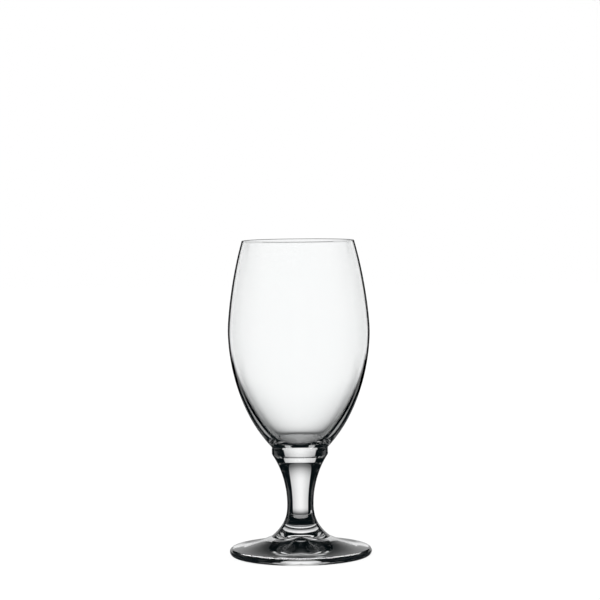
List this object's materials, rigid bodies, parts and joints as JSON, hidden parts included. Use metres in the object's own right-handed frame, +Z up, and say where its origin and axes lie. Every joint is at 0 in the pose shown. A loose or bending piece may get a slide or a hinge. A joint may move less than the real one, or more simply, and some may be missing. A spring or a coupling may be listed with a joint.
{
  "type": "stemmed beer glass",
  "caption": "Clear stemmed beer glass: tulip bowl with a heavy base on a short collar, a solid waisted stem and a round hollow-under foot.",
  "frame": {"origin": "centre of the ring that the foot stands on, on the table plane", "axes": "+Z up along the glass's axis of revolution, towards the rim; X and Y are alike"},
  "size_m": [0.0804, 0.0804, 0.178],
  "materials": {
    "bowl_glass": "clear, fire-polished, thin wall with a rounded lip",
    "collar_glass": "clear, fire-polished, solid",
    "stem_glass": "clear, fire-polished, solid",
    "foot_glass": "clear, fire-polished, with a rounded edge"
  },
  "bodies": {
    "root": {"bowl": "bowl_glass", "collar": "collar_glass", "stem": "stem_glass", "foot": "foot_glass"}
  },
  "joints": []
}
